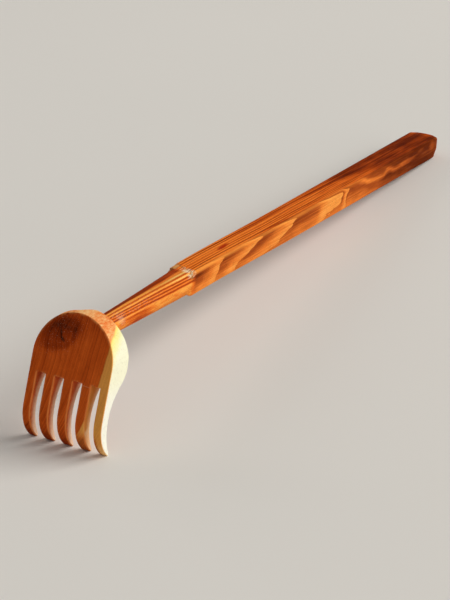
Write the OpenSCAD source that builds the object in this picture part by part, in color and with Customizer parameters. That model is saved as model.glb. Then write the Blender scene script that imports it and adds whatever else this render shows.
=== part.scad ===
// Wooden back scratcher: a five-tined claw head on a square handle with a turned round neck.
// The handle's tenon is glued into a blind socket in the flat back of the head.
// Head and handle are drawn along the handle's axis, then tipped to lie on tine tips and butt.

/* [Handle] */
// Length from the back of the head to the butt
handle_l = 433; // [300:1:520]
// Length of the turned neck, from the back of the head to the grip's shoulder
neck_l = 95; // [60:1:140]
// Diameter of the neck where it meets the head
neck_head_d = 11; // [10.5:0.1:12]
// Diameter of the neck at the grip's shoulder
neck_shoulder_d = 16.1; // [13:0.1:17]
// Width of the grip at its shoulder
grip_shoulder_w = 16.4; // [14:0.1:20]
// Width of the grip at its butt
grip_butt_w = 21.3; // [16:0.1:26]
// Height of the grip, the same all along
grip_h = 13.8; // [12:0.1:18]
// Radius of the four long edges of the grip
arris_r = 1.5; // [0.5:0.1:3]
// Radius of the edges round the butt
butt_r = 3; // [1:0.1:4]

/* [Joint] */
// Diameter of the tenon
tenon_d = 9.6; // [6:0.1:10]
// Depth of the socket in the head
socket_depth = 10.5; // [6:0.1:11.5]
// Thickness of the glue round the tenon and behind its end
glue_t = 0.15; // [0.1:0.05:0.3]

/* [Head] */
// Width of the head over its outer tines
head_w = 48.2; // [47:0.1:56]
// Height of the handle's axis above the centre of the arched top
arch_drop = 9.2; // [6:0.1:12]
// Lean of the front face, from square to the handle
front_lean = 16.5; // [12:0.5:20]
// Distance from the back of the head to the foremost part of the tines
claw_reach = 26.2; // [24:0.1:30]
// Radius of the rolled front of the tines
curl_r = 20; // [17:0.1:24]
// Distance from the handle's axis down to the centre of the roll
curl_drop = 40.9; // [38:0.1:46]
// Radius of the hollow sweep behind the tines
sweep_r = 27; // [24:0.1:32]
// Distance from the handle's axis down to the centre of the sweep
sweep_drop = 43.7; // [41:0.1:48]
// Radius of the heel, where the sweep turns up into the flat back
heel_r = 14; // [8:0.1:16]

/* [Tines] */
// Number of tines
tine_count = 5; // [3:1:5]
// Thickness of the tines between roll and sweep
tine_t = 6.1; // [5:0.1:8]
// Width of the slots between the tines
slot_w = 5.5; // [4.5:0.1:6.5]
// Distance between the middles of neighbouring slots
slot_pitch = 11.1; // [10:0.1:11.5]
// Distance from the handle's axis down to the tops of the slots
slot_drop = 18.7; // [14:0.1:24]
// Radius of the rounded tips, seen from the side
tip_r = 0.9; // [0.6:0.1:1.4]
// Radius of the tips' corners, seen from the front
tip_corner_r = 1; // [0.4:0.1:1.6]

/* [Hidden] */
$fn = 96;

// Steps along a drawn arc, and along a rounded long edge
arc_steps = 14;
arris_steps = 6;
// Steps of the rounding at the butt
butt_steps = 5;
// Thickness of one slice of the grip
slice_t = 0.01;
// How far a shape runs past the one that it cuts or joins
spare = 1;

// Joint
socket_d = tenon_d + 2 * glue_t;
tenon_l = socket_depth - glue_t;

// Points on an arc, in degrees
function arc(centre, r, from, to, steps = arc_steps) =
    [for (i = [0 : steps])
        let (a = from + (to - from) * i / steps)
        centre + r * [cos(a), sin(a)]];
function direction(from, to) = atan2(to.y - from.y, to.x - from.x);
// Lower of the two points at distance ra from a and rb from b
function lower_meeting(a, ra, b, rb) =
    let (
        d = norm(b - a),
        along = (ra * ra - rb * rb + d * d) / (2 * d),
        e = (b - a) / d
    )
    a + along * e + sqrt(ra * ra - along * along) * [e.y, -e.x];

// Side profile of the head: x along the handle with 0 at the flat back, y up with 0 on the handle's axis
curl_c = [curl_r - claw_reach, -curl_drop];
sweep_c = [tine_t + sweep_r - claw_reach, -sweep_drop];
heel_rise = sqrt(pow(sweep_r + heel_r, 2) - pow(sweep_c.x + heel_r, 2));
heel_c = [-heel_r, sweep_c.y + heel_rise];
tip_c = lower_meeting(curl_c, curl_r - tip_r, sweep_c, sweep_r + tip_r);
tip_y = tip_c.y - tip_r;
arch_top = head_w / 2 - arch_drop;
front_foot = curl_c + curl_r * [-cos(front_lean), sin(front_lean)];
front_top = [front_foot.x + (arch_top + spare - front_foot.y) * tan(front_lean), arch_top + spare];
// Directions in which the tip's rounding meets the roll and the sweep, and the sweep meets the heel
tip_front = direction(curl_c, tip_c) + 360;
tip_back = direction(tip_c, sweep_c) + 360;
heel_turn = direction(sweep_c, heel_c);

// Middle and width of each tine, from side to side
slots = tine_count - 1;
comb_w = (slots - 1) * slot_pitch + slot_w;
inner_tine_w = slot_pitch - slot_w;
outer_tine_w = (head_w - comb_w) / 2;
function is_outer(i) = i == 0 || i == slots;
function tine_w(i) = is_outer(i) ? outer_tine_w : inner_tine_w;
function tine_y(i) =
    i == 0 ? (outer_tine_w - head_w) / 2 :
    i == slots ? (head_w - outer_tine_w) / 2 :
    (i - slots / 2) * slot_pitch;

// Lie of the whole piece: the floor touches the rounded tine tips and the rounded lower edge of the butt
butt_c = [handle_l - butt_r, butt_r - grip_h / 2];
rest_tilt = direction(tip_c, butt_c) - asin((butt_r - tip_r) / norm(butt_c - tip_c));
floor_drop = tip_r - (tip_c.y * cos(rest_tilt) - tip_c.x * sin(rest_tilt));
front_x = curl_c.x * cos(rest_tilt) + curl_c.y * sin(rest_tilt) - curl_r;
butt_x = butt_c.x * cos(rest_tilt) - butt_c.y * sin(rest_tilt) + butt_r;
mid_x = (front_x + butt_x) / 2;

function grip_w(x) = grip_shoulder_w
    + (grip_butt_w - grip_shoulder_w) * (x - neck_l) / (handle_l - neck_l);

// Lay a piece drawn along the handle on the floor, over the middle of its own length
module lie() {
    translate([-mid_x, 0, floor_drop])
        rotate([0, rest_tilt, 0])
            children();
}

// Stand a flat shape square to the handle and give it length along the handle
module along_handle(length) {
    rotate([90, 0, 90])
        linear_extrude(length)
            children();
}

module rounded_rect(w, h, r) {
    x = w / 2 - r;
    y = h / 2 - r;
    polygon(concat(
        arc([x, y], r, 0, 90, arris_steps),
        arc([-x, y], r, 90, 180, arris_steps),
        arc([-x, -y], r, 180, 270, arris_steps),
        arc([x, -y], r, 270, 360, arris_steps)
    ));
}

// Section of the grip at x, drawn in on all sides
module grip_slice(x, draw_in) {
    translate([x - slice_t, 0, 0])
        along_handle(slice_t)
            rounded_rect(grip_w(x) - 2 * draw_in, grip_h - 2 * draw_in, arris_r);
}

// The square stick, flared to the butt, as it is before the neck is turned
module stick() {
    hull() {
        grip_slice(slice_t, 0);
        for (i = [0 : butt_steps])
            let (a = 90 * i / butt_steps)
            grip_slice(butt_c.x + butt_r * sin(a), butt_r * (1 - cos(a)));
    }
}

// What the turning leaves: a cone up to the shoulder, and the whole stick past it
module turned_envelope() {
    rotate([0, 90, 0])
        cylinder(d1 = neck_head_d, d2 = neck_shoulder_d, h = neck_l);
    translate([neck_l, -grip_butt_w, -grip_h])
        cube([handle_l, 2 * grip_butt_w, 2 * grip_h]);
}

// A round plug from the flat back of the head into its thickness
module plug(d, depth, past_back) {
    translate([-depth, 0, 0])
        rotate([0, 90, 0])
            cylinder(d = d, h = depth + past_back);
}

module handle() {
    color([0.82, 0.42, 0.14])
        lie() {
            intersection() {
                stick();
                turned_envelope();
            }
            plug(tenon_d, tenon_l, spare);
        }
}

// Head seen from the side
module head_profile() {
    polygon(concat(
        [front_top],
        arc(curl_c, curl_r, 180 - front_lean, tip_front),
        arc(tip_c, tip_r, tip_front, tip_back),
        arc(sweep_c, sweep_r, tip_back - 180, heel_turn),
        arc(heel_c, heel_r, heel_turn + 180, 360),
        [[0, arch_top + spare]]
    ));
}

// One tine seen from the front, with rounded corners at its tip
module tine_outline(w) {
    corner_x = w / 2 - tip_corner_r;
    corner_y = tip_y + tip_corner_r;
    polygon(concat(
        [[-w / 2, spare - slot_drop]],
        arc([-corner_x, corner_y], tip_corner_r, 180, 270),
        arc([corner_x, corner_y], tip_corner_r, 270, 360),
        [[w / 2, spare - slot_drop]]
    ));
}

// Head seen from the front: a round arch, straight sides and a comb of tines
module head_outline() {
    translate([-head_w / 2, -slot_drop])
        square([head_w, slot_drop - arch_drop]);
    translate([0, -arch_drop])
        intersection() {
            circle(d = head_w);
            translate([-head_w / 2, 0])
                square(head_w);
        }
    for (i = [0 : slots])
        translate([tine_y(i), 0])
            tine_outline(tine_w(i));
}

module head() {
    color([0.62, 0.29, 0.11])
        lie()
            difference() {
                intersection() {
                    translate([0, head_w / 2 + spare, 0])
                        rotate([90, 0, 0])
                            linear_extrude(head_w + 2 * spare)
                                head_profile();
                    translate([-claw_reach - spare, 0, 0])
                        along_handle(claw_reach + 2 * spare)
                            head_outline();
                }
                plug(socket_d, socket_depth, spare);
            }
}

// Glue left between tenon and socket, a thin cup closed at the end of the tenon
module glue_line() {
    color([0.85, 0.75, 0.5])
        lie()
            difference() {
                plug(socket_d, socket_depth, 0);
                plug(tenon_d, tenon_l, spare);
            }
}

handle();
head();
glue_line();
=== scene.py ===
"""Wooden back scratcher: a claw head with rolled tines, tenoned onto a square handle with a turned neck.

Both pieces are drawn as distance fields in the handle's own frame, in millimetres: u runs from the flat back
of the head to the butt, y runs across the tines, and v runs up from the handle's axis. Left and right are
those of the photograph: left is +y and right is -y.
"""
import math
from types import SimpleNamespace

import bpy
import numpy as np
from mathutils import Matrix, Vector


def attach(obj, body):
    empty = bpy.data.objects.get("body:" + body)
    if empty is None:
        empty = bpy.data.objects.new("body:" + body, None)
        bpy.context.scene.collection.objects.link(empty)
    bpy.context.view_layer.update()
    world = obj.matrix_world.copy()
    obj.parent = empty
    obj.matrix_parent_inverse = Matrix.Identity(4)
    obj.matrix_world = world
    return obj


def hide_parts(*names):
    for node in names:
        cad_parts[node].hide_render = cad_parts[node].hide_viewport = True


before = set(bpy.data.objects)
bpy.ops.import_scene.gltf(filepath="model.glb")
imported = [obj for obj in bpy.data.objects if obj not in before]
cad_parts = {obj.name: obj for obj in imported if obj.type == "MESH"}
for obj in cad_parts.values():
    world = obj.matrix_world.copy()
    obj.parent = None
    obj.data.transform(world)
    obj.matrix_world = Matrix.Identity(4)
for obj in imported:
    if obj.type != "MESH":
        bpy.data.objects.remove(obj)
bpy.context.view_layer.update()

# Lie of the piece on the floor, as in the CAD
MM = 1000                        # millimetres in a metre
TILT = math.radians(6.32223)
COS, SIN = math.cos(TILT), math.sin(TILT)
MID_X, FLOOR_DROP = 200.074, 54.2279

# Handle, as in the CAD
HANDLE_L, NECK_L, NECK_HEAD_R = 433.0, 95.0, 5.5
GRIP_SHOULDER_W, GRIP_BUTT_W, GRIP_H = 16.4, 21.3, 13.8
TENON_R, TENON_L = 4.8, 10.35

# Handle, within 0.1 mm of the CAD
NECK_SHOULDER_R, ARRIS_R = 8.12, 1.6

# Handle, shoulder as it was cut by hand
NECK_STEP = 0.4                  # how far the turning went below the flats of the stick
SHOULDER_SIDE_U, SHOULDER_TOP_U = 95.2, 100.0    # where the grip starts, on its sides and over its top
SHOULDER_SKEW, SHOULDER_BOW = 0.36, 0.025        # of its line over the top
SHOULDER_EDGE_R, SHOULDER_FILLET_R = 0.25, 0.3
SHOULDER_SLOPE, TORN_SLOPE, RIGHT_SLOPE = 0.15, 1.2, 2.4
TORN_V = (3.6, 5.2)                              # heights between which the torn corner sets in
FIBRE_W, FIBRE_L, FIBRE_LEAD = 0.6, 2.4, 0.6     # torn fibres: width, unevenness, and reach towards the head
EAR_U, EAR_Y, EAR_SKEW = 96.4, 8.0, 0.35         # end of the top left corner, which stands on
EAR_SINK, EAR_EDGE_R = 0.35, 0.45
EAR_RIGHT, EAR_UNDER, EAR_BACK = 3.4, 1.5, 112.0
KNIFE_R, KNIFE_LEAD, KNIFE_RIGHT, KNIFE_UNDER = 0.3, 0.1, 1.5, 5.0
NECK_OVERLAP, TENON_OVERLAP = 12.0, 1.0          # how far neck and tenon run on inside the stick

# Handle, butt and crook
BUTT_BULGE, BUTT_BOW_R = 1.0, 22.0
BUTT_EDGE_R, BUTT_SIDE_R, BUTT_UNDER_R = 1.4, 1.4, 4.2    # the last two add to the first
CROOK_Y, CROOK_V, CROOK_U, CROOK_L = 0.55, 0.44, 125.0, 55.0

# Head, as in the CAD
HEAD_W, ARCH_DROP, FRONT_LEAN, CLAW_REACH = 48.2, 9.2, math.radians(16.5), 26.2
CURL_R, CURL_DROP, SWEEP_R, SWEEP_DROP, HEEL_R = 20.0, 40.9, 27.0, 43.7, 14.0
TINE_T, SLOT_W, SLOT_PITCH, SLOT_DROP, TIP_R = 6.1, 5.5, 11.1, 18.7, 0.9
SOCKET_R, SOCKET_DEPTH = 4.95, 10.5
SLOTS = [(i - 1.5) * SLOT_PITCH for i in range(4)]        # middles of the four slots

# Head, side outline: middles of its two large arcs, as (u, v), and how finely it is drawn
CURL = np.array([CURL_R - CLAW_REACH, -CURL_DROP])
SWEEP = np.array([TINE_T + SWEEP_R - CLAW_REACH, -SWEEP_DROP])
OVER_ARCH = 3.0                  # how far it runs on above the arch that trims it
FACE_POINTS, CURL_POINTS, TIP_POINTS, SWEEP_POINTS, HEEL_POINTS = 120, 36, 14, 40, 20

# Head, eased edges
EDGE_R, REAR_EDGE_R, TIP_EDGE_R, TINE_EDGE_R = 0.36, 0.5, 0.3, 0.65    # the last three add to the first
TINE_EDGE_IN = 0.6               # from the wall of a slot to the middle of the eased edge beside it
BACK_R, LOW_BACK_R, ARCH_BACK_R = 0.8, 1.2, 6.3                        # the last two add to the first
SLOT_TOP_R = 0.5

# Meshes
HEAD_GRID, HANDLE_GRID = 0.36, 0.42
PROBE = 0.02                     # step over which a field's slope is measured
PULLS, LONGEST_PULL, LEAST_SLOPE = 4, 0.3, 0.25
TINY = 1e-6


def to_world(p):
    u, y, v = p.T
    return np.stack([u * COS + v * SIN - MID_X, y, v * COS - u * SIN + FLOOR_DROP], 1) / MM


# Distance fields
def round_and(a, b, r):
    """Where two solids overlap, with the edge between them rounded to radius r."""
    return np.minimum(np.maximum(a, b), -r) + np.hypot(np.maximum(a + r, 0), np.maximum(b + r, 0))


def round_or(a, b, r):
    """Two solids joined, with the corner between them filled to radius r."""
    return -round_and(-a, -b, r)


def ease(lo, hi, t):
    """0 at lo, 1 at hi, smooth between and level beyond."""
    t = np.clip((t - lo) / (hi - lo), 0, 1)
    return t * t * (3 - 2 * t)


FIBRES = np.random.default_rng(11).random((64, 64))


def wander(table, a, b):
    """Smooth random heights from 0 to 1 over the plane (a, b)."""
    size = len(table)
    a, b = np.broadcast_arrays(a, b)
    i, j = np.floor(a).astype(int), np.floor(b).astype(int)
    s, t = ease(0, 1, a - i), ease(0, 1, b - j)

    def pick(di, dj):
        return table[(i + di) % size, (j + dj) % size]

    near = pick(0, 0) * (1 - s) + pick(1, 0) * s
    far = pick(0, 1) * (1 - s) + pick(1, 1) * s
    return near * (1 - t) + far * t


def grip_half_w(u):
    return (GRIP_SHOULDER_W + (GRIP_BUTT_W - GRIP_SHOULDER_W) * (u - NECK_L) / (HANDLE_L - NECK_L)) / 2


def stick_section(u, y, v):
    """Distance to the squared stick, with its eased arrises."""
    a = np.abs(y) - grip_half_w(u) + ARRIS_R
    b = np.abs(v) - GRIP_H / 2 + ARRIS_R
    return np.hypot(np.maximum(a, 0), np.maximum(b, 0)) + np.minimum(np.maximum(a, b), 0) - ARRIS_R


def shoulder_line(y, v):
    """Where the grip starts. The tool left it askew over the top, and square on the sides and below."""
    over_top = SHOULDER_TOP_U + SHOULDER_SKEW * y + SHOULDER_BOW * y * y
    return SHOULDER_SIDE_U + (over_top - SHOULDER_SIDE_U) * ease(3.8, 6.6, v)


def torn(u, y, v):
    """1 where the turning tool tore the top right corner of the shoulder."""
    past = u - shoulder_line(y, v)
    return ease(2.2, -0.5, y) * ease(*TORN_V, v) * ease(-5.5, -2.5, past) * ease(1.2, 0.2, past)


def butt_edge_r(y, v):
    """Radius round the butt: crisp above, eased at the sides, well rounded below."""
    return BUTT_EDGE_R + BUTT_SIDE_R * ease(5, 9, np.abs(y)) + BUTT_UNDER_R * ease(0, -6, v)


def grip_field(u, y, v, section):
    """The squared stick from its torn, sloping shoulder to its bowed butt."""
    end = (u - HANDLE_L - BUTT_BULGE + y * y / (2 * BUTT_BOW_R)) / np.hypot(1, y / BUTT_BOW_R)
    stick = round_and(section, end, butt_edge_r(y, v))
    rough = ease(1.6, -1.0, y) * ease(*TORN_V, v)
    ragged = rough * (FIBRE_L * (wander(FIBRES, y / FIBRE_W, v / FIBRE_W) - 0.5) - FIBRE_LEAD)
    slope = SHOULDER_SLOPE + TORN_SLOPE * rough + RIGHT_SLOPE * ease(-5, -7, y) * ease(4.5, 2.5, v)
    shoulder = (shoulder_line(y, v) + ragged + slope * section - u) / np.hypot(1, slope)
    return round_and(stick, shoulder, SHOULDER_EDGE_R)


def ear_field(u, y, v, section):
    """The top left corner, which stands on a little lower, as far as the turning reached."""
    ear = round_and(section + EAR_SINK, EAR_U + EAR_SKEW * (EAR_Y - y) - u, EAR_EDGE_R)
    return np.maximum(np.maximum(ear, EAR_RIGHT - y), np.maximum(EAR_UNDER - v, u - EAR_BACK))


def neck_field(u, y, v, section):
    """The tapering round neck, inside the stick that it was turned from."""
    neck_r = NECK_HEAD_R + (NECK_SHOULDER_R - NECK_HEAD_R) * u / NECK_L
    neck = np.maximum(np.hypot(y, v) - neck_r, section)
    neck = np.maximum(neck, np.abs(v) - GRIP_H / 2 + NECK_STEP)
    return np.maximum(np.maximum(neck, -u), u - NECK_L - NECK_OVERLAP)


def knife_field(u, y, v, section):
    """The line that a knife left along the shoulder, over the top."""
    line = np.hypot(u - shoulder_line(y, v) + KNIFE_LEAD, section) - KNIFE_R
    return np.maximum(line, np.maximum(KNIFE_RIGHT - y, KNIFE_UNDER - v))


def handle_field(u, y, v):
    section = stick_section(u, y, v)
    grip = np.minimum(grip_field(u, y, v, section), ear_field(u, y, v, section))
    body = round_or(grip, neck_field(u, y, v, section), SHOULDER_FILLET_R)
    body = np.maximum(body, -knife_field(u, y, v, section))
    tenon = np.maximum(np.maximum(np.hypot(y, v) - TENON_R, -TENON_L - u), u - TENON_OVERLAP)
    return np.minimum(body, tenon)


def arc(middle, r, first, last, count):
    a = np.radians(np.linspace(first, last, count))
    return np.stack([middle[0] + r * np.cos(a), middle[1] + r * np.sin(a)], 1)


def heading(a, b):
    """Direction from a to b, in degrees."""
    return math.degrees(math.atan2(b[1] - a[1], b[0] - a[0]))


def tip_middle():
    """Middle of the tine's tip, whose round touches the curl from inside and the sweep from outside."""
    gap = SWEEP - CURL
    d = np.hypot(*gap)
    to_curl, to_sweep = CURL_R - TIP_R, SWEEP_R + TIP_R
    along = (to_curl * to_curl - to_sweep * to_sweep + d * d) / (2 * d)
    e = gap / d
    return CURL + along * e + math.sqrt(to_curl * to_curl - along * along) * np.array([e[1], -e[0]])


def head_profile():
    """Outline of the head from the side: leaning front, roll, tip, hollow sweep, heel and flat back."""
    heel_rise = math.sqrt((SWEEP_R + HEEL_R) ** 2 - (SWEEP[0] + HEEL_R) ** 2)
    heel = np.array([-HEEL_R, SWEEP[1] + heel_rise])
    tip = tip_middle()
    tip_front, tip_back = heading(CURL, tip) + 360, heading(tip, SWEEP) + 360
    heel_turn = heading(SWEEP, heel)
    top = HEAD_W / 2 - ARCH_DROP + OVER_ARCH
    foot = CURL + CURL_R * np.array([-math.cos(FRONT_LEAN), math.sin(FRONT_LEAN)])
    return np.concatenate([
        [[foot[0] + (top - foot[1]) * math.tan(FRONT_LEAN), top]],
        arc(CURL, CURL_R, 180 - math.degrees(FRONT_LEAN), tip_front, CURL_POINTS),
        arc(tip, TIP_R, tip_front, tip_back, TIP_POINTS),
        arc(SWEEP, SWEEP_R, tip_back - 180, heel_turn, SWEEP_POINTS),
        arc(heel, HEEL_R, heel_turn + 180, 360, HEEL_POINTS),
        [[0, top]],
    ])


PROFILE = head_profile()
FRONT_POINTS = np.concatenate([np.linspace(PROFILE[0], PROFILE[1], FACE_POINTS), PROFILE[1:CURL_POINTS + 1]])


def outline_distance(u, v, points):
    """Signed distance to a closed outline, negative inside."""
    best, inside = np.inf, False
    for (au, av), (bu, bv) in zip(points, np.roll(points, -1, 0)):
        eu, ev = bu - au, bv - av
        if math.hypot(eu, ev) < TINY:
            continue
        t = np.clip(((u - au) * eu + (v - av) * ev) / (eu * eu + ev * ev), 0, 1)
        best = np.minimum(best, (u - au - t * eu) ** 2 + (v - av - t * ev) ** 2)
        if ev:
            inside = inside ^ (((av > v) != (bv > v)) & (u < (v - av) * eu / ev + au))
    return np.where(inside, -1, 1) * np.sqrt(best)


def comb_distance(y, v):
    """Distance to the head's outline from the front: a round arch, straight sides and four slots."""
    d = np.where(v > -ARCH_DROP, np.hypot(y, v + ARCH_DROP), np.abs(y)) - HEAD_W / 2
    for middle in SLOTS:
        d = np.maximum(d, -round_and(np.abs(y - middle) - SLOT_W / 2, v + SLOT_DROP, SLOT_TOP_R))
    return d


def head_edge_r(u, y, v):
    """Radius along the head's edges. The tines' right edges are eased most, between slot top and tip."""
    edge_r = EDGE_R + REAR_EDGE_R * ease(-12, -4, u) + TIP_EDGE_R * ease(-45, -55, v)
    along_tine = ease(-18, -20, v) * ease(-54, -46, v)
    for middle in SLOTS:
        off = np.abs(y - middle - SLOT_W / 2 - TINE_EDGE_IN)
        edge_r = edge_r + TINE_EDGE_R * ease(2.2, 1.0, off) * along_tine
    return edge_r


def head_back_r(y, v):
    """Radius along the back edge, which is rounded over most at the arch's top and on its left."""
    top_left = ease(-5, 5, y) * ease(0, 10, v) * ease(24, 12, y)
    return BACK_R + LOW_BACK_R * ease(-6, -14, v) + ARCH_BACK_R * top_left


def head_field(u, y, v):
    side = outline_distance(u, v, PROFILE)
    front = comb_distance(y, v)
    body = np.maximum(round_and(side, front, head_edge_r(u, y, v)), round_and(u, front, head_back_r(y, v)))
    socket = np.maximum(np.hypot(y, v) - SOCKET_R, -SOCKET_DEPTH - u)
    return np.maximum(body, -socket)


# Meshes on the fields
def spans(*parts):
    """Grid lines from (start, end, spacing) stretches that follow each other."""
    lines = [np.arange(a, b - d / 2, d) for a, b, d in parts]
    return np.concatenate(lines + [[parts[-1][1]]])


def slope_of(field, p):
    slope = np.empty_like(p)
    for k in range(3):
        step = np.zeros(3)
        step[k] = PROBE
        slope[:, k] = (field(*(p + step).T) - field(*(p - step).T)) / (2 * PROBE)
    return slope


def pull_onto(field, p):
    """Points near the zero level of a field, moved onto it."""
    for _ in range(PULLS):
        d, slope = field(*p.T), slope_of(field, p)
        move = d[:, None] * slope / np.maximum((slope * slope).sum(1), LEAST_SLOPE)[:, None]
        p = p - np.clip(move, -LONGEST_PULL, LONGEST_PULL)
    return p


def surface(field, *axes):
    """A quad mesh on a field's zero level: one point in each grid cell that it crosses, pulled onto it."""
    f = field(*np.meshgrid(*axes, indexing="ij", sparse=True))
    inside = f < 0
    shape = np.array(f.shape) - 1
    total, count = np.zeros((*shape, 3)), np.zeros(shape)
    rings = []
    for k in range(3):
        low = tuple(slice(0, -1) if i == k else slice(None) for i in range(3))
        high = tuple(slice(1, None) if i == k else slice(None) for i in range(3))
        near = np.argwhere(inside[low] != inside[high])
        far = near.copy()
        far[:, k] += 1
        a, b = f[tuple(near.T)], f[tuple(far.T)]
        point = np.stack([axes[i][near[:, i]] for i in range(3)], 1)
        point[:, k] += a / (a - b) * (axes[k][far[:, k]] - axes[k][near[:, k]])
        cells = []
        for first, second in ((-1, -1), (0, -1), (0, 0), (-1, 0)):
            cell = near.copy()
            cell[:, (k + 1) % 3] += first
            cell[:, (k + 2) % 3] += second
            np.add.at(total, tuple(cell.T), point)
            np.add.at(count, tuple(cell.T), 1)
            cells.append(cell)
        rings.append((cells, inside[tuple(near.T)]))
    live = np.argwhere(count > 0)
    number = -np.ones(shape, int)
    number[tuple(live.T)] = np.arange(len(live))
    quads = []
    for cells, from_inside in rings:
        quad = np.stack([number[tuple(cell.T)] for cell in cells], 1)
        quads.append(np.where(from_inside[:, None], quad, quad[:, ::-1]))
    p = pull_onto(field, total[tuple(live.T)] / count[tuple(live.T)][:, None])
    normal = slope_of(field, p)
    return p, np.concatenate(quads), normal / np.maximum(np.linalg.norm(normal, axis=1), TINY)[:, None]


def mesh_piece(name, p, quads, **marks):
    """A smooth piece in the world, with a value at each point for each mark that its material reads."""
    mesh = bpy.data.meshes.new(name)
    mesh.from_pydata(to_world(p).tolist(), [], quads.tolist())
    mesh.validate()
    for mark, values in marks.items():
        mesh.attributes.new(mark, "FLOAT", "POINT").data.foreach_set("value", values.astype(np.float32))
    mesh.polygons.foreach_set("use_smooth", np.ones(len(mesh.polygons), bool))
    piece = bpy.data.objects.new(name, mesh)
    bpy.context.scene.collection.objects.link(piece)
    return piece


def make_handle():
    # finer at both ends of the tenon, at the shoulder and at the butt
    us = spans((-11, -10, 0.25), (-10, -1, 1.5), (-1, 1, 0.25), (1, 84, 1.5), (84, 108, 0.3), (108, 422, 1.5),
               (422, 435.5, 0.5))
    ys = spans((-11.6, 11.6, HANDLE_GRID))
    vs = spans((-7.8, 7.8, HANDLE_GRID))
    p, quads, normal = surface(handle_field, us, ys, vs)
    u, y, v = p.T
    arris = np.minimum(np.abs(y) - grip_half_w(u), np.abs(v) - GRIP_H / 2)
    edge = ease(-2.2, -0.4, arris) * ease(-0.4, -0.1, stick_section(u, y, v))
    # bare wood: end grain that faces the head at the shoulder, and the top left corner that stands on
    bare = ease(0.25, 0.7, -normal[:, 0]) * (u > 85) * ease(2.5, 4.5, np.abs(v)) * (0.3 + 0.7 * (v > 0))
    corner = (y > 4) * (v > 2) * ease(95.5, 96.5, u) * ease(0.2, -0.8, u - shoulder_line(y, v))
    cut = np.maximum(bare, corner)
    # a slight crook in the stick
    crook = np.exp(-((u - CROOK_U) / CROOK_L) ** 2)
    bent = np.stack([u, y + CROOK_Y * crook, v + CROOK_V * crook], 1)
    return mesh_piece("handle_wood", bent, quads, edge=edge, tear=torn(u, y, v), cut=cut)


def make_head():
    us = spans((-28, 1, HEAD_GRID))
    ys = spans((-25.2, 25.2, HEAD_GRID))
    vs = spans((-58, 16.5, HEAD_GRID))
    p, quads, normal = surface(head_field, us, ys, vs)
    u, y, v = p.T
    along, across, up = normal.T
    edge = ease(-1.1, -0.3, np.minimum(outline_distance(u, v, PROFILE), comb_distance(y, v)))
    front = ease(0.75, 0.3, np.min([np.hypot(u - a, v - b) for a, b in FRONT_POINTS], 0))
    # walls of the slots, which the heartwood darkens as painted shade, and the strip along the hollow sweep
    # on walls that face right, which it paints paler as painted light
    inner = ease(2, 4, HEAD_W / 2 - np.abs(y)) * ease(1, 0, v + SLOT_DROP)
    to_sweep = np.abs(np.hypot(u - SWEEP[0], v - SWEEP[1]) - SWEEP_R)
    deep = ease(5.5, 1.0, to_sweep) * ease(0.3, 0.7, -across)
    # the tines' eased right-front edges, which take a painted highlight
    eased = ease(0.25, 0.5, -along) * ease(0.25, 0.5, -across) * ease(-18, -19.5, v)
    # back and underside, and the left wall
    rear = ease(0.75, 0.4, np.abs(across)) * ease(0.5, 0.1, up) * (1 - front)
    rear = np.maximum(rear, ease(0.35, 0.8, across) * ease(19, 23, y))
    return mesh_piece("head_wood", p, quads, edge=edge, front=front, inner=inner, deep=deep, eased=eased,
                      rear=rear)


# Shader graphs
class Num:
    """A socket that takes part in sums, so that a material reads like the formula behind it."""

    def __init__(self, graph, socket):
        self.graph, self.socket = graph, socket

    def __add__(self, other):
        return self.graph.math("ADD", self, other)

    def __sub__(self, other):
        return self.graph.math("SUBTRACT", self, other)

    def __rsub__(self, other):
        return self.graph.math("SUBTRACT", other, self)

    def __mul__(self, other):
        return self.graph.math("MULTIPLY", self, other)

    def __truediv__(self, other):
        return self.graph.math("DIVIDE", self, other)

    def __neg__(self):
        return self.graph.math("MULTIPLY", self, -1.0)

    def __abs__(self):
        return self.graph.math("ABSOLUTE", self)

    __radd__, __rmul__ = __add__, __mul__


def opaque(colour):
    return colour if isinstance(colour, Num) else (*colour, 1.0)


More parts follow.
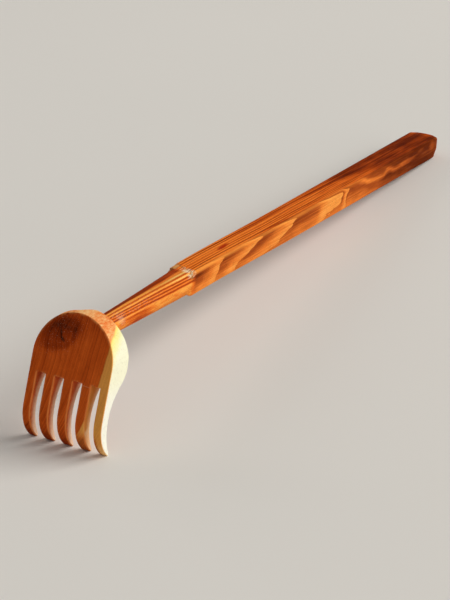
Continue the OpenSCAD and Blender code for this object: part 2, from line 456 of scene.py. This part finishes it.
class Graph:
    """The node tree of one material, called g in the functions below."""

    def __init__(self, name):
        self.material = bpy.data.materials.new(name)
        self.material.use_nodes = True
        self.tree = self.material.node_tree
        self.tree.nodes.clear()

    def node(self, kind, inputs=(), out=0, **settings):
        node = self.tree.nodes.new(kind)
        for key, value in settings.items():
            setattr(node, key, value)
        for key, value in dict(inputs).items():
            if isinstance(value, Num):
                self.tree.links.new(value.socket, node.inputs[key])
            else:
                node.inputs[key].default_value = value
        return Num(self, node.outputs[out])

    def math(self, operation, *values):
        return self.node("ShaderNodeMath", enumerate(values), operation=operation)

    def step(self, lo, hi, x):
        """0 below lo, 1 above hi, smooth between; falls instead where lo is above hi."""
        a, b = (0.0, 1.0) if lo < hi else (1.0, 0.0)
        inputs = {0: x, 1: min(lo, hi), 2: max(lo, hi), 3: a, 4: b}
        return self.node("ShaderNodeMapRange", inputs, interpolation_type="SMOOTHSTEP")

    def within(self, x, rise, fall):
        """1 between two places. It comes over the stretch rise and goes over the stretch fall."""
        return self.step(*rise, x) * self.step(fall[1], fall[0], x)

    def noise(self, xyz, detail=2.0, rough=0.5):
        """Smooth noise from 0 to 1. Each coordinate comes divided by the size of the features along it."""
        place = self.node("ShaderNodeCombineXYZ", enumerate(xyz))
        inputs = {"Vector": place, "Scale": 1.0, "Detail": detail, "Roughness": rough}
        return self.node("ShaderNodeTexNoise", inputs)

    def ripple(self, xyz, detail=2.0, rough=0.5):
        """The same noise, about 0."""
        return self.noise(xyz, detail, rough) - 0.5

    def random(self, x):
        return self.node("ShaderNodeTexWhiteNoise", {"W": x}, noise_dimensions="1D")

    def attribute(self, name):
        return self.node("ShaderNodeAttribute", out=2, attribute_name=name)

    def mix(self, factor, a, b):
        return self.node("ShaderNodeMix", {0: factor, 6: opaque(a), 7: opaque(b)}, out=2, data_type="RGBA")

    def ramp(self, x, stops):
        """A colour between the (place, colour) stops."""
        out = self.node("ShaderNodeValToRGB", {0: x})
        elements = out.socket.node.color_ramp.elements
        while len(elements) < len(stops):
            elements.new(0.5)
        for element, (place, colour) in zip(elements, stops):
            element.position = place
            element.color = opaque(colour)
        return out

    def line(self, x, points, low=0.0, high=1.0):
        """A smooth line through (place, value) points, whose values lie from low to high."""
        first, last = points[0][0], points[-1][0]
        out = self.node("ShaderNodeFloatCurve", {"Value": (x - first) / (last - first)})
        mapping = out.socket.node.mapping
        spots = mapping.curves[0].points
        while len(spots) < len(points):
            spots.new(0.5, 0.5)
        for spot, (place, value) in zip(spots, points):
            spot.location = ((place - first) / (last - first), (value - low) / (high - low))
        mapping.update()
        return out * (high - low) + low

    def ellipse(self, *terms):
        """Distance from a spot, in half-widths: terms are (coordinate, middle, half-width)."""
        total = 0.0
        for x, middle, half in terms:
            part = (x - middle) / half
            total = part * part + total
        return self.math("SQRT", total)

    def handle_coordinates(self):
        """u, y and v of a point, in millimetres."""
        place = self.node("ShaderNodeTexCoord", out=3)

        def along(*direction):
            return self.node("ShaderNodeVectorMath", {0: place, 1: direction}, out=1, operation="DOT_PRODUCT")

        u = along(MM * COS, 0, -MM * SIN) + (MID_X * COS + FLOOR_DROP * SIN)
        v = along(MM * SIN, 0, MM * COS) + (MID_X * SIN - FLOOR_DROP * COS)
        return u, along(0, MM, 0), v

    def finish(self, colour, roughness, height, depth, gloss=0.012):
        """The shader. The depth of the grain is in metres."""
        bump = self.node("ShaderNodeBump", {"Strength": 1.0, "Distance": depth, "Height": height})
        shader = self.node("ShaderNodeBsdfPrincipled", {
            "Base Color": colour, "Roughness": roughness, "Normal": bump, "IOR": 1.48,
            "Specular IOR Level": gloss})
        out = self.tree.nodes.new("ShaderNodeOutputMaterial")
        self.tree.links.new(shader.socket, out.inputs[0])
        return self.material


# Colours of the handle, from pale to dark where there are several, for each way that the wood was cut
PLANED = ((0.0, (0.94, 0.25, 0.030)), (0.30, (0.75, 0.134, 0.0115)), (0.62, (0.38, 0.051, 0.004)),
          (1.0, (0.11, 0.0115, 0.001)))
SAWN = ((0.0, (0.96, 0.395, 0.079)), (0.30, (0.80, 0.212, 0.031)), (0.62, (0.42, 0.080, 0.012)),
        (1.0, (0.12, 0.017, 0.002)))
TURNED = ((0.0, (0.97, 0.42, 0.075)), (0.30, (0.82, 0.19, 0.024)), (0.62, (0.46, 0.062, 0.009)),
          (1.0, (0.13, 0.014, 0.002)))
CREAM_STRIPE, RED_FLECK, HANDLE_PORE = (0.99, 0.61, 0.18), (0.44, 0.020, 0.0015), (0.10, 0.015, 0.003)
TORN_FIBRE, BARE_END, WORN_AND_LIT_ARRIS = (0.98, 0.82, 0.54), (0.60, 0.38, 0.14), (0.92, 0.33, 0.055)
NECK_PALE_SPECK, NECK_SMUDGE = (0.80, 0.66, 0.50), (0.78, 0.68, 0.48)

# Grain of the handle, in tones from 0, pale, to 1, dark
SHOULDER_ZONE, SOFT_ZONE, FAR_ZONE = (93, 100), (225, 290), (285, 325)    # stretches of u where looks change
RING_W = 1.5                     # one year's growth
COMB_W = 2.1                     # one dark and one pale line on top of the grip
LINE_FADE = 14                   # half the stretch over which a dark line comes or goes
STRIPE_TWIST, STRIPE_U = 0.18, 22.0    # degrees in a millimetre that the neck's stripes wind, and from where
# how far the rings run out along the stick, so that they break out of its right side one by one: (u, lag)
LAG_MAX = 20.0
RING_LAG = ((0, 4.3), (92, 6.7), (98, 6.85), (114, 7.35), (124, 8.0), (130, 8.45), (163, 10.2), (219, 12.1),
            (247, 12.5), (255, 13.1), (281, 13.55), (290, 15.1), (302, 15.7), (433, 15.9))
# along the grip: (u, tone). The rise past u = 300 is partly darker wood and partly painted shade, where light
# falls off towards the butt
TOP_TONE = ((0, 0.2), (115, 0.10), (160, 0.20), (205, 0.30), (250, 0.31), (295, 0.39), (340, 0.77),
            (433, 0.86))
SIDE_TONE = ((0, 0.16), (115, 0.16), (160, 0.23), (230, 0.19), (260, 0.10), (280, 0.10), (300, 0.37),
             (340, 0.77), (385, 0.96), (433, 0.95))
# dark lines on top of the grip: (tone, y at u = 100, drift along u, half-width, first u, last u)
DARK_LINES = ((0.36, 5.9, 0.0, 0.7, 130, 230), (0.34, 8.0, 0.006, 0.7, 90, 300),
              (0.48, -3.2, -0.028, 0.7, 110, 212), (0.20, 12.3, -0.044, 1.8, 268, 336))
# pale spots on the sides, near the butt: (tone, u, half-length, v, half-height)
PALE_SPOTS = ((0.24, 421.0, 6.0, 3.2, 4.0), (0.15, 402.0, 7.0, 4.6, 1.6))
# the pale vein before them: (u, v), inside a band of v
VEIN_BAND = (-8.0, 8.0)
VEIN = ((0, 6.4), (300, 6.4), (311, 5.76), (323, 2.88), (342, 1.6), (351, 3.52), (361, 1.28), (372, 1.44),
        (390, 2.24), (405, 3.52), (433, 4.0))
# stripes of the neck, round it from its right over its top: (degrees, tone)
NECK_STRIPES = ((-25, 0.22), (-15, 0.22), (10, 0.17), (22, 0.10), (27, 0.35), (32, 0.74), (35, 0.55),
                (39, 0.28), (42, 0.45), (45, 0.72), (50, 0.28), (53, 0.46), (56, 0.66), (60, 0.34),
                (65, 0.03), (69, 0.22), (72.5, 0.46), (75.5, 0.48), (79, 0.12), (85, 0.0), (90, 0.06),
                (95, 0.25), (99, 0.25), (105, 0.25))
# red fleck behind the shoulder, and smudge on the neck: middle and half-sizes
FLECK_U, FLECK_Y, FLECK_V, FLECK_SLANT = 144.0, 0.3, 6.9, 0.08
FLECK_L, FLECK_W, FLECK_H = 8.5, 1.8, 2.0
SMUDGE_U, SMUDGE_TURN, SMUDGE_L, SMUDGE_ROUND = 22.0, 26.0, 4.0, 36.0


def handle_grain(g):
    """What all of the handle's wood shares: coordinates, zones, noises, and the rings through the stick."""
    u, y, v = g.handle_coordinates()
    slow = g.ripple((u / 60, y / 14, v / 14))
    quick = g.ripple((u / 22, y / 4, v / 4))
    grip = g.step(*SHOULDER_ZONE, u)
    right = g.step(2.4, 0.8, grip_half_w(u) + y) * grip
    left = g.step(1.1, 0.3, grip_half_w(u) - y) * grip
    lag = g.line(u, RING_LAG, 0.0, LAG_MAX)
    lean = 0.04 + 0.08 * g.step(118, 155, u) - 0.05 * g.step(175, 215, u)
    over = g.math("MAXIMUM", v - 3.4, 0.0)
    bend = 0.045 * g.step(250, 268, u)
    growth = (-y - lag * (0.7 - 0.035 * y) + lean * v - bend * over * over + 0.5 * slow
              + (0.5 + 0.5 * g.step(240, 262, u)) * quick)
    lines = g.ripple((growth / 0.55, u / 160, v / 40), 3.0, 0.65)
    fibre = g.ripple((u / 26, y / 0.28, v / 0.28), 3.0, 0.6)
    pores = g.step(0.60, 0.72, g.noise((u / 2.6, y / 0.16, v / 0.16), 1.0))
    # degrees round the neck from its right, and the same along the winding stripes
    angle = g.math("ARCTAN2", v, -y) * math.degrees(1)
    turn = angle + STRIPE_TWIST * (u - STRIPE_U) + 7.0 * quick + 6.0 * slow
    return SimpleNamespace(
        place=(u, y, v), grip=grip, right=right, sides=right + left, soft=g.step(*SOFT_ZONE, u),
        far=g.step(*FAR_ZONE, u), slow=slow, quick=quick, growth=growth, lines=lines, fibre=fibre,
        pores=pores, angle=angle, turn=turn, stripe=g.line(turn, NECK_STRIPES))


def grip_top_tone(g, grain):
    """Top of the grip: fine lines that follow its edges, and a few dark ones."""
    u, y, _ = grain.place
    soft, far = grain.soft, grain.far
    flow = y + 0.013 * u + 1.2 * grain.slow
    fine = g.ripple((flow / 0.8, u / 130, 0.0), 3.0, 0.6)
    hair = g.step(0.42, 0.62, g.noise((flow / 0.85, u / 110, 7.0), 1.0))
    sway = 1.5 * g.noise((flow / 2.4, u / 80, 3.0), 1.0)
    comb = g.math("SINE", (flow + sway) * (math.tau / COMB_W))
    by_shoulder = 0.13 * g.step(200, 120, u) + 0.22 * g.step(140, 115, u) * g.step(1, -2.5, y)
    tone = g.line(u + 3.5 * y * soft, TOP_TONE) + 0.35 * grain.lines + 0.8 * grain.quick * soft
    tone = tone + 1.1 * fine * (1.0 - 0.4 * far) + 0.38 * (hair - 0.45) * (1.0 - 0.6 * far)
    tone = tone + (0.20 + by_shoulder) * (1.0 - 0.7 * soft) * comb
    for dark, start, drift, width, first, last in DARK_LINES:
        off = abs(y - start - drift * (u - 100) + grain.slow)
        rise, fall = (first - LINE_FADE, first + LINE_FADE), (last - LINE_FADE, last + LINE_FADE)
        tone = tone + dark * g.step(width, 0.2 * width, off) * g.within(u, rise, fall)
    return tone + 0.16 * g.step(0.5, 5.0, y) * g.within(u, (235, 265), (300, 340))


def grip_side_tone(g, grain):
    """Sides of the grip: the flames of the rings, and past them on the right one wavy pale vein."""
    u, _, v = grain.place
    far = grain.far
    tone = g.line(u, SIDE_TONE) + 0.35 * grain.lines + 0.5 * grain.quick * far
    rows = g.ripple(((v + 1.5 * grain.slow) / 0.9, u / 90, 5.0), 2.0, 0.6)
    tone = tone + 0.6 * rows * (1.0 - 0.5 * far)
    late = g.step(0.12, 0.98, g.math("FRACT", grain.growth / RING_W))
    tone = tone + 0.56 * late * (0.42 + 0.58 * g.step(-6, 4, v)) * (1.0 - far)
    off = abs(v - g.line(u, VEIN, *VEIN_BAND) + 2.6 * grain.quick)
    vein = g.step(2.7, 0.1, off) * g.within(u, (302, 318), (376, 404)) * grain.right
    tone = tone - 0.40 * vein * (0.3 + 1.3 * g.noise((u / 8, v / 1.2, 2.0)))
    for pale, spot_u, length, spot_v, height in PALE_SPOTS:
        tone = tone - pale * g.step(1.1, 0.2, g.ellipse((u, spot_u, length), (v, spot_v, height)))
    tone = tone - 0.16 * far * g.step(-2.5, -6, v) * g.step(400, 370, u)
    by_shoulder = (0.20 * g.step(122, 99, u) * g.step(-4.0, 2.0, v)
                   + 0.10 * g.step(150, 130, u) * g.step(3.4, 4.6, v + 0.03 * (130 - u)))
    return tone + by_shoulder * g.step(6.0, 4.8, v) * grain.right


def neck_tone(g, grain):
    """Neck: stripes where the turning cut across the rings, plain flanks, and left of its top a dark band,
    partly painted shade.
    """
    u, y, v = grain.place
    flank = g.step(24, 14, grain.turn)
    patch = flank * g.within(u, (18, 30), (42, 58)) * g.step(0.32, 0.56, grain.quick + 0.5)
    mottle = g.ripple((u / 8, y / 1.6, v / 1.6), 2.0, 0.6)
    strands = g.ripple((grain.turn / 2.4, u / 90, 3.0), 1.0)
    by_shoulder = g.step(74, 90, u)
    # the dark band left of the top is partly darker wood and partly painted shade, on the side away from the
    # key
    past_top = grain.angle - 4.5 * g.step(48, 68, u) - 6.0 * by_shoulder
    gap = g.within(grain.angle, (116, 121), (128, 134)) * g.step(62, 42, u)
    band = g.step(84, 96, past_top) * (0.54 - 0.08 * by_shoulder) * (1.0 - 0.6 * gap)
    tone = grain.stripe + 0.5 * grain.lines + 0.5 * strands + 0.38 * patch + 0.6 * mottle * flank + band
    plain = 0.40 + 0.7 * grain.lines
    return tone + (plain - tone) * g.step(0.5, 3.5, y - v)


def clean_handle_wood(g, grain):
    """The wood without its marks: planed on top, sawn on its sides and turned at the neck."""
    u, _, _ = grain.place
    neck, top, side = neck_tone(g, grain), grip_top_tone(g, grain), grip_side_tone(g, grain)
    tone = neck + (top + (side - top) * grain.sides - neck) * grain.grip
    tone = tone + 0.40 * grain.fibre - 0.22 * g.step(424, 431, u)
    squared = g.mix(grain.sides, g.ramp(tone, PLANED), g.ramp(tone, SAWN))
    cream = g.step(66, 90, u) * g.step(0.22, 0.0, grain.stripe) * g.step(57, 62, grain.turn)
    turned = g.mix(0.75 * cream, g.ramp(tone, TURNED), CREAM_STRIPE)
    return g.mix(grain.grip, turned, squared)


def handle_material():
    g = Graph("oiled_handle_wood")
    grain = handle_grain(g)
    u, y, v = grain.place
    wood = clean_handle_wood(g, grain)
    # pale specks over the top of the neck, near the head
    specks = g.step(0.66, 0.72, g.noise((u / 0.7, y / 0.4, v / 0.4), 0.0))
    neck_pale_specks = specks * g.step(75, 40, u) * g.within(grain.turn, (20, 30), (70, 80))
    wood = g.mix(0.3 * neck_pale_specks, wood, NECK_PALE_SPECK)
    smudge = g.ellipse((u, SMUDGE_U, SMUDGE_L), (grain.turn, SMUDGE_TURN, SMUDGE_ROUND))
    smudge = smudge + 3.6 * g.ripple((u / 0.9, y / 0.6, v / 0.6), 1.0)
    wood = g.mix(0.26 * g.step(1.0, 0.2, smudge), wood, NECK_SMUDGE)
    wood = g.mix(0.35 * grain.pores, wood, HANDLE_PORE)
    beside = y - FLECK_SLANT * (u - FLECK_U)
    fleck = g.ellipse((u, FLECK_U, FLECK_L), (beside, FLECK_Y, FLECK_W), (v, FLECK_V, FLECK_H))
    wood = g.mix(0.9 * g.step(1.15, 0.35, fleck + 0.8 * grain.quick), wood, RED_FLECK)
    tear = g.attribute("tear") * g.step(0.42, 0.60, g.noise((u / 14, y / 0.6, v / 0.6)))
    wood = g.mix(0.9 * tear, wood, TORN_FIBRE)
    wood = g.mix(0.6 * g.attribute("cut"), wood, BARE_END)
    # pale arrises: partly wear, partly painted highlight where they catch the light
    edge = g.attribute("edge") * g.step(0.15, 0.5, g.noise((u / 30, y / 2, v / 2)))
    wear_and_highlight = 0.36 + 0.44 * g.step(190, 110, u) - 0.26 * g.step(240, 285, u)
    wood = g.mix(wear_and_highlight * edge * (1.0 - grain.far), wood, WORN_AND_LIT_ARRIS)
    rough = 0.48 + 0.16 * grain.fibre + 0.2 * tear
    height = 0.5 * grain.fibre - 0.8 * grain.pores - 0.35 * grain.lines
    return g.finish(wood, rough, height, 0.00012, gloss=0.008)


# Colours of the head, from the first to the last tone where there are several
# On the front, heartwood and sapwood are darker wood with painted shade, as the front faces away from the key
HEART_FRONT_WITH_SHADE = ((0.0, (0.80, 0.145, 0.018)), (0.3, (0.59, 0.088, 0.010)), (0.6, (0.36, 0.044, 0.005)),
               (1.0, (0.12, 0.014, 0.002)))
HEART_SIDE = ((0.0, (0.96, 0.58, 0.26)), (0.45, (0.93, 0.37, 0.115)), (0.95, (0.86, 0.16, 0.03)))
HEART_SWEEP_PAINTED_LIGHT, HEART_RIGHT_SLOT = (0.96, 0.74, 0.53), (0.78, 0.34, 0.07)
# sapwood on the front: olive-brown, darker wood with painted shade
SAP_FRONT_WITH_SHADE = ((0.0, (0.95, 0.43, 0.09)), (0.9, (0.76, 0.28, 0.055)))
SAP_END_TIP, SAP_NEXT_TIP = (0.97, 0.60, 0.24), (0.70, 0.17, 0.025)    # the rightmost tine and the next
SAP_SIDE = ((0.0, (0.93, 0.80, 0.20)), (0.25, (0.93, 0.87, 0.34)), (0.8, (0.935, 0.93, 0.70)))
SAP_LOW, SAP_SLOT = (0.935, 0.94, 0.93), (0.88, 0.55, 0.27)
KNOT_CORE, HEAD_PORE, HEAD_DUST = (0.030, 0.007, 0.003), (0.16, 0.03, 0.005), (0.85, 0.70, 0.52)
SCRIBED_LINE, WORN_EDGE, EASED_EDGE_HIGHLIGHT = (0.84, 0.50, 0.26), (0.84, 0.38, 0.12), (0.86, 0.25, 0.06)

# Grain of the head
HEAD_RING_W = 1.7                # one year's growth
KNOT_Y, KNOT_V, KNOT_COS, KNOT_SIN = 8.8, 2.4, 0.83, 0.55    # dark cloud round the knot: middle and turn
KNOT_LONG, KNOT_SHORT = 12.3, 7.2                            # and half-widths
CORE_Y, CORE_V, KNOT_BAND_V = 8.5, 1.2, 6.6
SAP_U, SAP_Y, SAP_V = -19.3, -18.4, -14.7                    # a point on the edge of the sapwood
SAP_SLANT, SAP_LEAN, SAP_BEND, SAP_BEND_V = 0.46, 0.2586, 0.0043, -15.0
SCRIBED_V, SCRIBED_SLANT = -18.95, 0.07


def head_grain(g):
    """What all of the head's wood shares: coordinates, noises, the knot, and the rings across the head."""
    u, y, v = g.handle_coordinates()
    slow = g.ripple((u / 10, y / 9, v / 30))
    quick = g.ripple((u / 3, y / 2.5, v / 9))
    cloud = g.ripple((u / 6, y / 6, v / 12), 3.0)
    across, up = y - KNOT_Y, v - KNOT_V
    spread = g.ellipse((KNOT_COS * across - KNOT_SIN * up, 0.0, KNOT_LONG),
                       (KNOT_SIN * across + KNOT_COS * up, 0.0, KNOT_SHORT)) + 0.6 * cloud
    # the rings lean as the edge of the sapwood does, which is where growth is 0, and bend round the knot
    low = g.math("MAXIMUM", SAP_BEND_V - v, 0.0)
    growth = SAP_Y - SAP_LEAN * (v - SAP_V) + SAP_SLANT * (u - SAP_U) - y + SAP_BEND * low * low
    growth = growth + 1.5 * slow + 0.7 * quick + 3.0 * g.step(1.4, 0.0, spread)
    ring = growth / HEAD_RING_W
    late = g.step(0.15, 0.95, g.math("FRACT", ring)) * (0.2 + 0.8 * g.random(g.math("FLOOR", ring)))
    lines = g.ripple((growth / 0.5, u / 40, v / 60), 3.0, 0.65)
    fibre = g.ripple((u / 0.35, y / 0.3, v / 18), 3.0, 0.6)
    pores = g.step(0.60, 0.72, g.noise((u / 0.2, y / 0.18, v / 2.2), 1.0))
    flame = g.ripple((u / 2.6 + slow, y / 1.2, v / 1.5), 3.0, 0.65)
    return SimpleNamespace(
        place=(u, y, v), cloud=cloud, spread=spread, growth=growth, late=late, lines=lines, fibre=fibre,
        pores=pores, flame=flame, front=g.attribute("front"), inner=g.attribute("inner"),
        deep=g.attribute("deep"))


def head_front_tone(g, grain):
    """Tone of the front, with the dark cloud round the knot."""
    u, y, v = grain.place
    rim = g.step(0.30, 0.05, abs(grain.spread - 0.86))
    band = g.step(1.5, 0.3, abs(v - KNOT_BAND_V + 3.0 * grain.cloud)) * g.within(y, (-1.5, 2.0), (11, 15))
    dark = 0.33 * g.step(1.3, 0.7, grain.spread) + 0.07 * rim + 0.14 * band
    dark = dark + 0.20 * g.step(2, 10, y) * g.step(-4, 6, v) + 0.20 * g.step(0, 12, v)
    streaks = g.ripple((grain.growth / 0.9, u / 60, v / 80), 1.0)
    tone = 0.27 + 0.06 * g.step(6, 18, y) + 0.16 * (grain.late - 0.4) + dark
    return tone + 0.55 * grain.lines + 0.35 * grain.fibre + 0.35 * grain.cloud + 0.5 * streaks


def heartwood(g, grain, front_tone):
    _, y, v = grain.place
    inner, deep = grain.inner, grain.deep
    # darker towards the tine tips: painted shade of their curled undersides
    front = g.ramp(front_tone + 0.45 * g.step(-44, -56, v), HEART_FRONT_WITH_SHADE)
    side_tone = 0.38 + 0.18 * g.step(8, 11.5, v) - 0.42 * g.step(13.3, 15.2, v)
    side = g.ramp(side_tone + 2.4 * grain.flame + 0.3 * grain.fibre + 0.3 * grain.lines, HEART_SIDE)
    # slot walls take the front's colour as painted shade, less on the lit strip; the back, underside and left
    # wall take most of it too
    front_colour_and_slot_shade = g.math("MAXIMUM", inner * (0.85 - 0.75 * deep), 0.75 * g.attribute("rear"))
    side = g.mix(front_colour_and_slot_shade, side, front)
    # the strip along the sweep on walls that face right: painted light, as if lit from behind
    side = g.mix(0.85 * inner * deep, side, HEART_SWEEP_PAINTED_LIGHT)
    side = g.mix(0.8 * inner * g.step(-12, -13.5, y) * (1.0 - 0.5 * deep), side, HEART_RIGHT_SLOT)
    return g.mix(grain.front, side, front)


def sapwood(g, grain, front_tone):
    _, y, v = grain.place
    side = g.ramp(grain.growth / 8 + 0.5 * grain.flame, SAP_SIDE)
    side = g.mix(0.5 * g.step(-14, -30, v), side, SAP_LOW)
    side = g.mix(0.85 * grain.inner, side, SAP_SLOT)
    front = g.ramp(front_tone, SAP_FRONT_WITH_SHADE)
    front = g.mix(0.8 * g.step(-46, -56, v) * g.step(-16, -19, y), front, SAP_END_TIP)
    front = g.mix(0.5 * g.step(-46, -54, v) * g.step(-17, -15, y), front, SAP_NEXT_TIP)
    return g.mix(grain.front, side, front)


def knot_core(g, grain):
    """Distance from the knot's black core, in half-widths: two spots that run together."""
    _, y, v = grain.place
    across, up = y - CORE_Y, v - CORE_V
    upper = g.ellipse((across - 0.22 * up, 0.2, 0.9), (up, 1.6, 3.8))
    lower = g.ellipse((across - 0.8 * up, 0.0, 1.5), (up, -0.4, 1.9))
    return g.math("MINIMUM", upper, lower) + 1.4 * grain.cloud


def head_material():
    g = Graph("oiled_head_wood")
    grain = head_grain(g)
    u, y, v = grain.place
    front_tone = head_front_tone(g, grain)
    beside = 1.0 - grain.front
    sap = grain.growth - 4.0 * grain.inner * beside + 1.2 * grain.fibre + grain.flame * beside
    sap = g.step(-0.5, 0.6, sap) * (1.0 - 0.75 * grain.inner * g.step(-41, -48, v))
    heart = 1.0 - sap
    wood = g.mix(sap, heartwood(g, grain, front_tone), sapwood(g, grain, front_tone))
    wood = g.mix(0.85 * g.step(1.2, 0.2, knot_core(g, grain)), wood, KNOT_CORE)
    # a line scribed for the tops of the slots, which shows on the right
    off = abs(v - SCRIBED_V - SCRIBED_SLANT * y)
    scribed = g.step(0.30, 0.08, off) * g.within(y, (-20.2, -19.0), (-8.6, -7.4))
    wood = g.mix(0.28 * scribed * grain.front, wood, SCRIBED_LINE)
    wood = g.mix(0.25 * grain.pores, wood, HEAD_PORE)
    specks = g.step(0.75, 0.79, g.noise((u / 0.36, y / 0.36, v / 0.36), 0.0))
    wood = g.mix(0.3 * specks * g.step(1.8, 0.9, grain.spread) * grain.front, wood, HEAD_DUST)
    edge = g.attribute("edge") * g.step(0.3, 0.6, g.noise((u / 3, y / 3, v / 8)))
    wood = g.mix(0.35 * edge * heart, wood, WORN_EDGE)
    # painted highlight on the tines' eased right-front edges
    wood = g.mix(0.8 * g.attribute("eased") * heart, wood, EASED_EDGE_HIGHLIGHT)
    rough = 0.5 + 0.16 * grain.fibre
    height = 0.5 * grain.fibre - 0.8 * grain.pores - 0.3 * grain.late
    return g.finish(wood, rough, height, 0.0001)


GLUE_DARK, GLUE_PALE = (0.62, 0.46, 0.20), (0.82, 0.70, 0.42)


def glue_material():
    g = Graph("dried_glue")
    u, y, v = g.handle_coordinates()
    ripple = g.noise((u / 1.5, y / 1.5, v / 1.5), 3.0)
    return g.finish(g.mix(ripple, GLUE_DARK, GLUE_PALE), 0.45 + 0.1 * ripple, ripple, 0.00005)


# Pieces
handle = make_handle()
handle.data.materials.append(handle_material())
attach(handle, "root")
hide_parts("handle")

head = make_head()
head.data.materials.append(head_material())
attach(head, "root")
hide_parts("head")

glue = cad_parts["glue_line"]
glue.data.materials.clear()
glue.data.materials.append(glue_material())

# Floor, light and camera, in metres
FLOOR_REACH = 4.0
FLOOR_DARK, FLOOR_PALE = (0.76, 0.745, 0.715), (0.79, 0.775, 0.745)
SKY_COLOUR, SKY_LEVEL = (1.0, 0.97, 0.93, 1), 0.24
CAMERA_PLACE = (-1.06028, -0.55121, 0.58055)
CAMERA_RIGHT = (0.48038, -0.87706, 0.0)
CAMERA_UP = (0.39025, 0.21375, 0.89556)
CAMERA_BACK = (-0.78546, -0.43021, 0.44495)


def floor_material():
    g = Graph("pale_floor")
    place = g.node("ShaderNodeTexCoord", out=3)
    shade = g.node("ShaderNodeTexNoise", {"Vector": place, "Scale": 3.0, "Detail": 2.0})
    return g.finish(g.mix(shade, FLOOR_DARK, FLOOR_PALE), 0.85, shade, 0.0)


def make_floor():
    r = FLOOR_REACH
    mesh = bpy.data.meshes.new("floor")
    mesh.from_pydata([(-r, -r, 0), (r, -r, 0), (r, r, 0), (-r, r, 0)], [], [(0, 1, 2, 3)])
    mesh.materials.append(floor_material())
    piece = bpy.data.objects.new("floor", mesh)
    bpy.context.scene.collection.objects.link(piece)
    return piece


def make_sky():
    world = bpy.data.worlds.new("studio")
    bpy.context.scene.world = world
    world.use_nodes = True
    background = world.node_tree.nodes["Background"]
    background.inputs[0].default_value = SKY_COLOUR
    background.inputs[1].default_value = SKY_LEVEL


def softbox(name, place, target, size, power, colour):
    light = bpy.data.lights.new(name, "AREA")
    light.shape = "RECTANGLE"
    light.size, light.size_y = size
    light.energy, light.color = power, colour
    lamp = bpy.data.objects.new(name, light)
    lamp.location = place
    lamp.rotation_euler = (Vector(target) - Vector(place)).to_track_quat("-Z", "Y").to_euler()
    bpy.context.scene.collection.objects.link(lamp)


def make_camera():
    camera = bpy.data.objects.new("camera", bpy.data.cameras.new("camera"))
    bpy.context.scene.collection.objects.link(camera)
    camera.data.sensor_fit = "VERTICAL"
    camera.data.sensor_height = 36.0
    camera.data.lens = 132.0
    camera.data.clip_end = 50.0
    camera.matrix_world = Matrix([*zip(CAMERA_RIGHT, CAMERA_UP, CAMERA_BACK, CAMERA_PLACE), (0, 0, 0, 1)])
    bpy.context.scene.camera = camera


floor = make_floor()
make_sky()
softbox("key", (4.40, -6.90, 6.26), (-0.10, 0, 0.03), (7.5, 5.25), 900.0, (1.0, 0.97, 0.92))
softbox("side", (-2.45, -9.38, 2.43), (-0.20, 0, 0.03), (6.0, 6.0), 169.0, (1.0, 0.96, 0.90))
softbox("fill", (1.00, 6.75, 3.20), (0.0, 0, 0.03), (5.0, 3.5), 87.5, (1.0, 0.98, 0.95))
make_camera()
bpy.context.scene.view_settings.view_transform = "Standard"
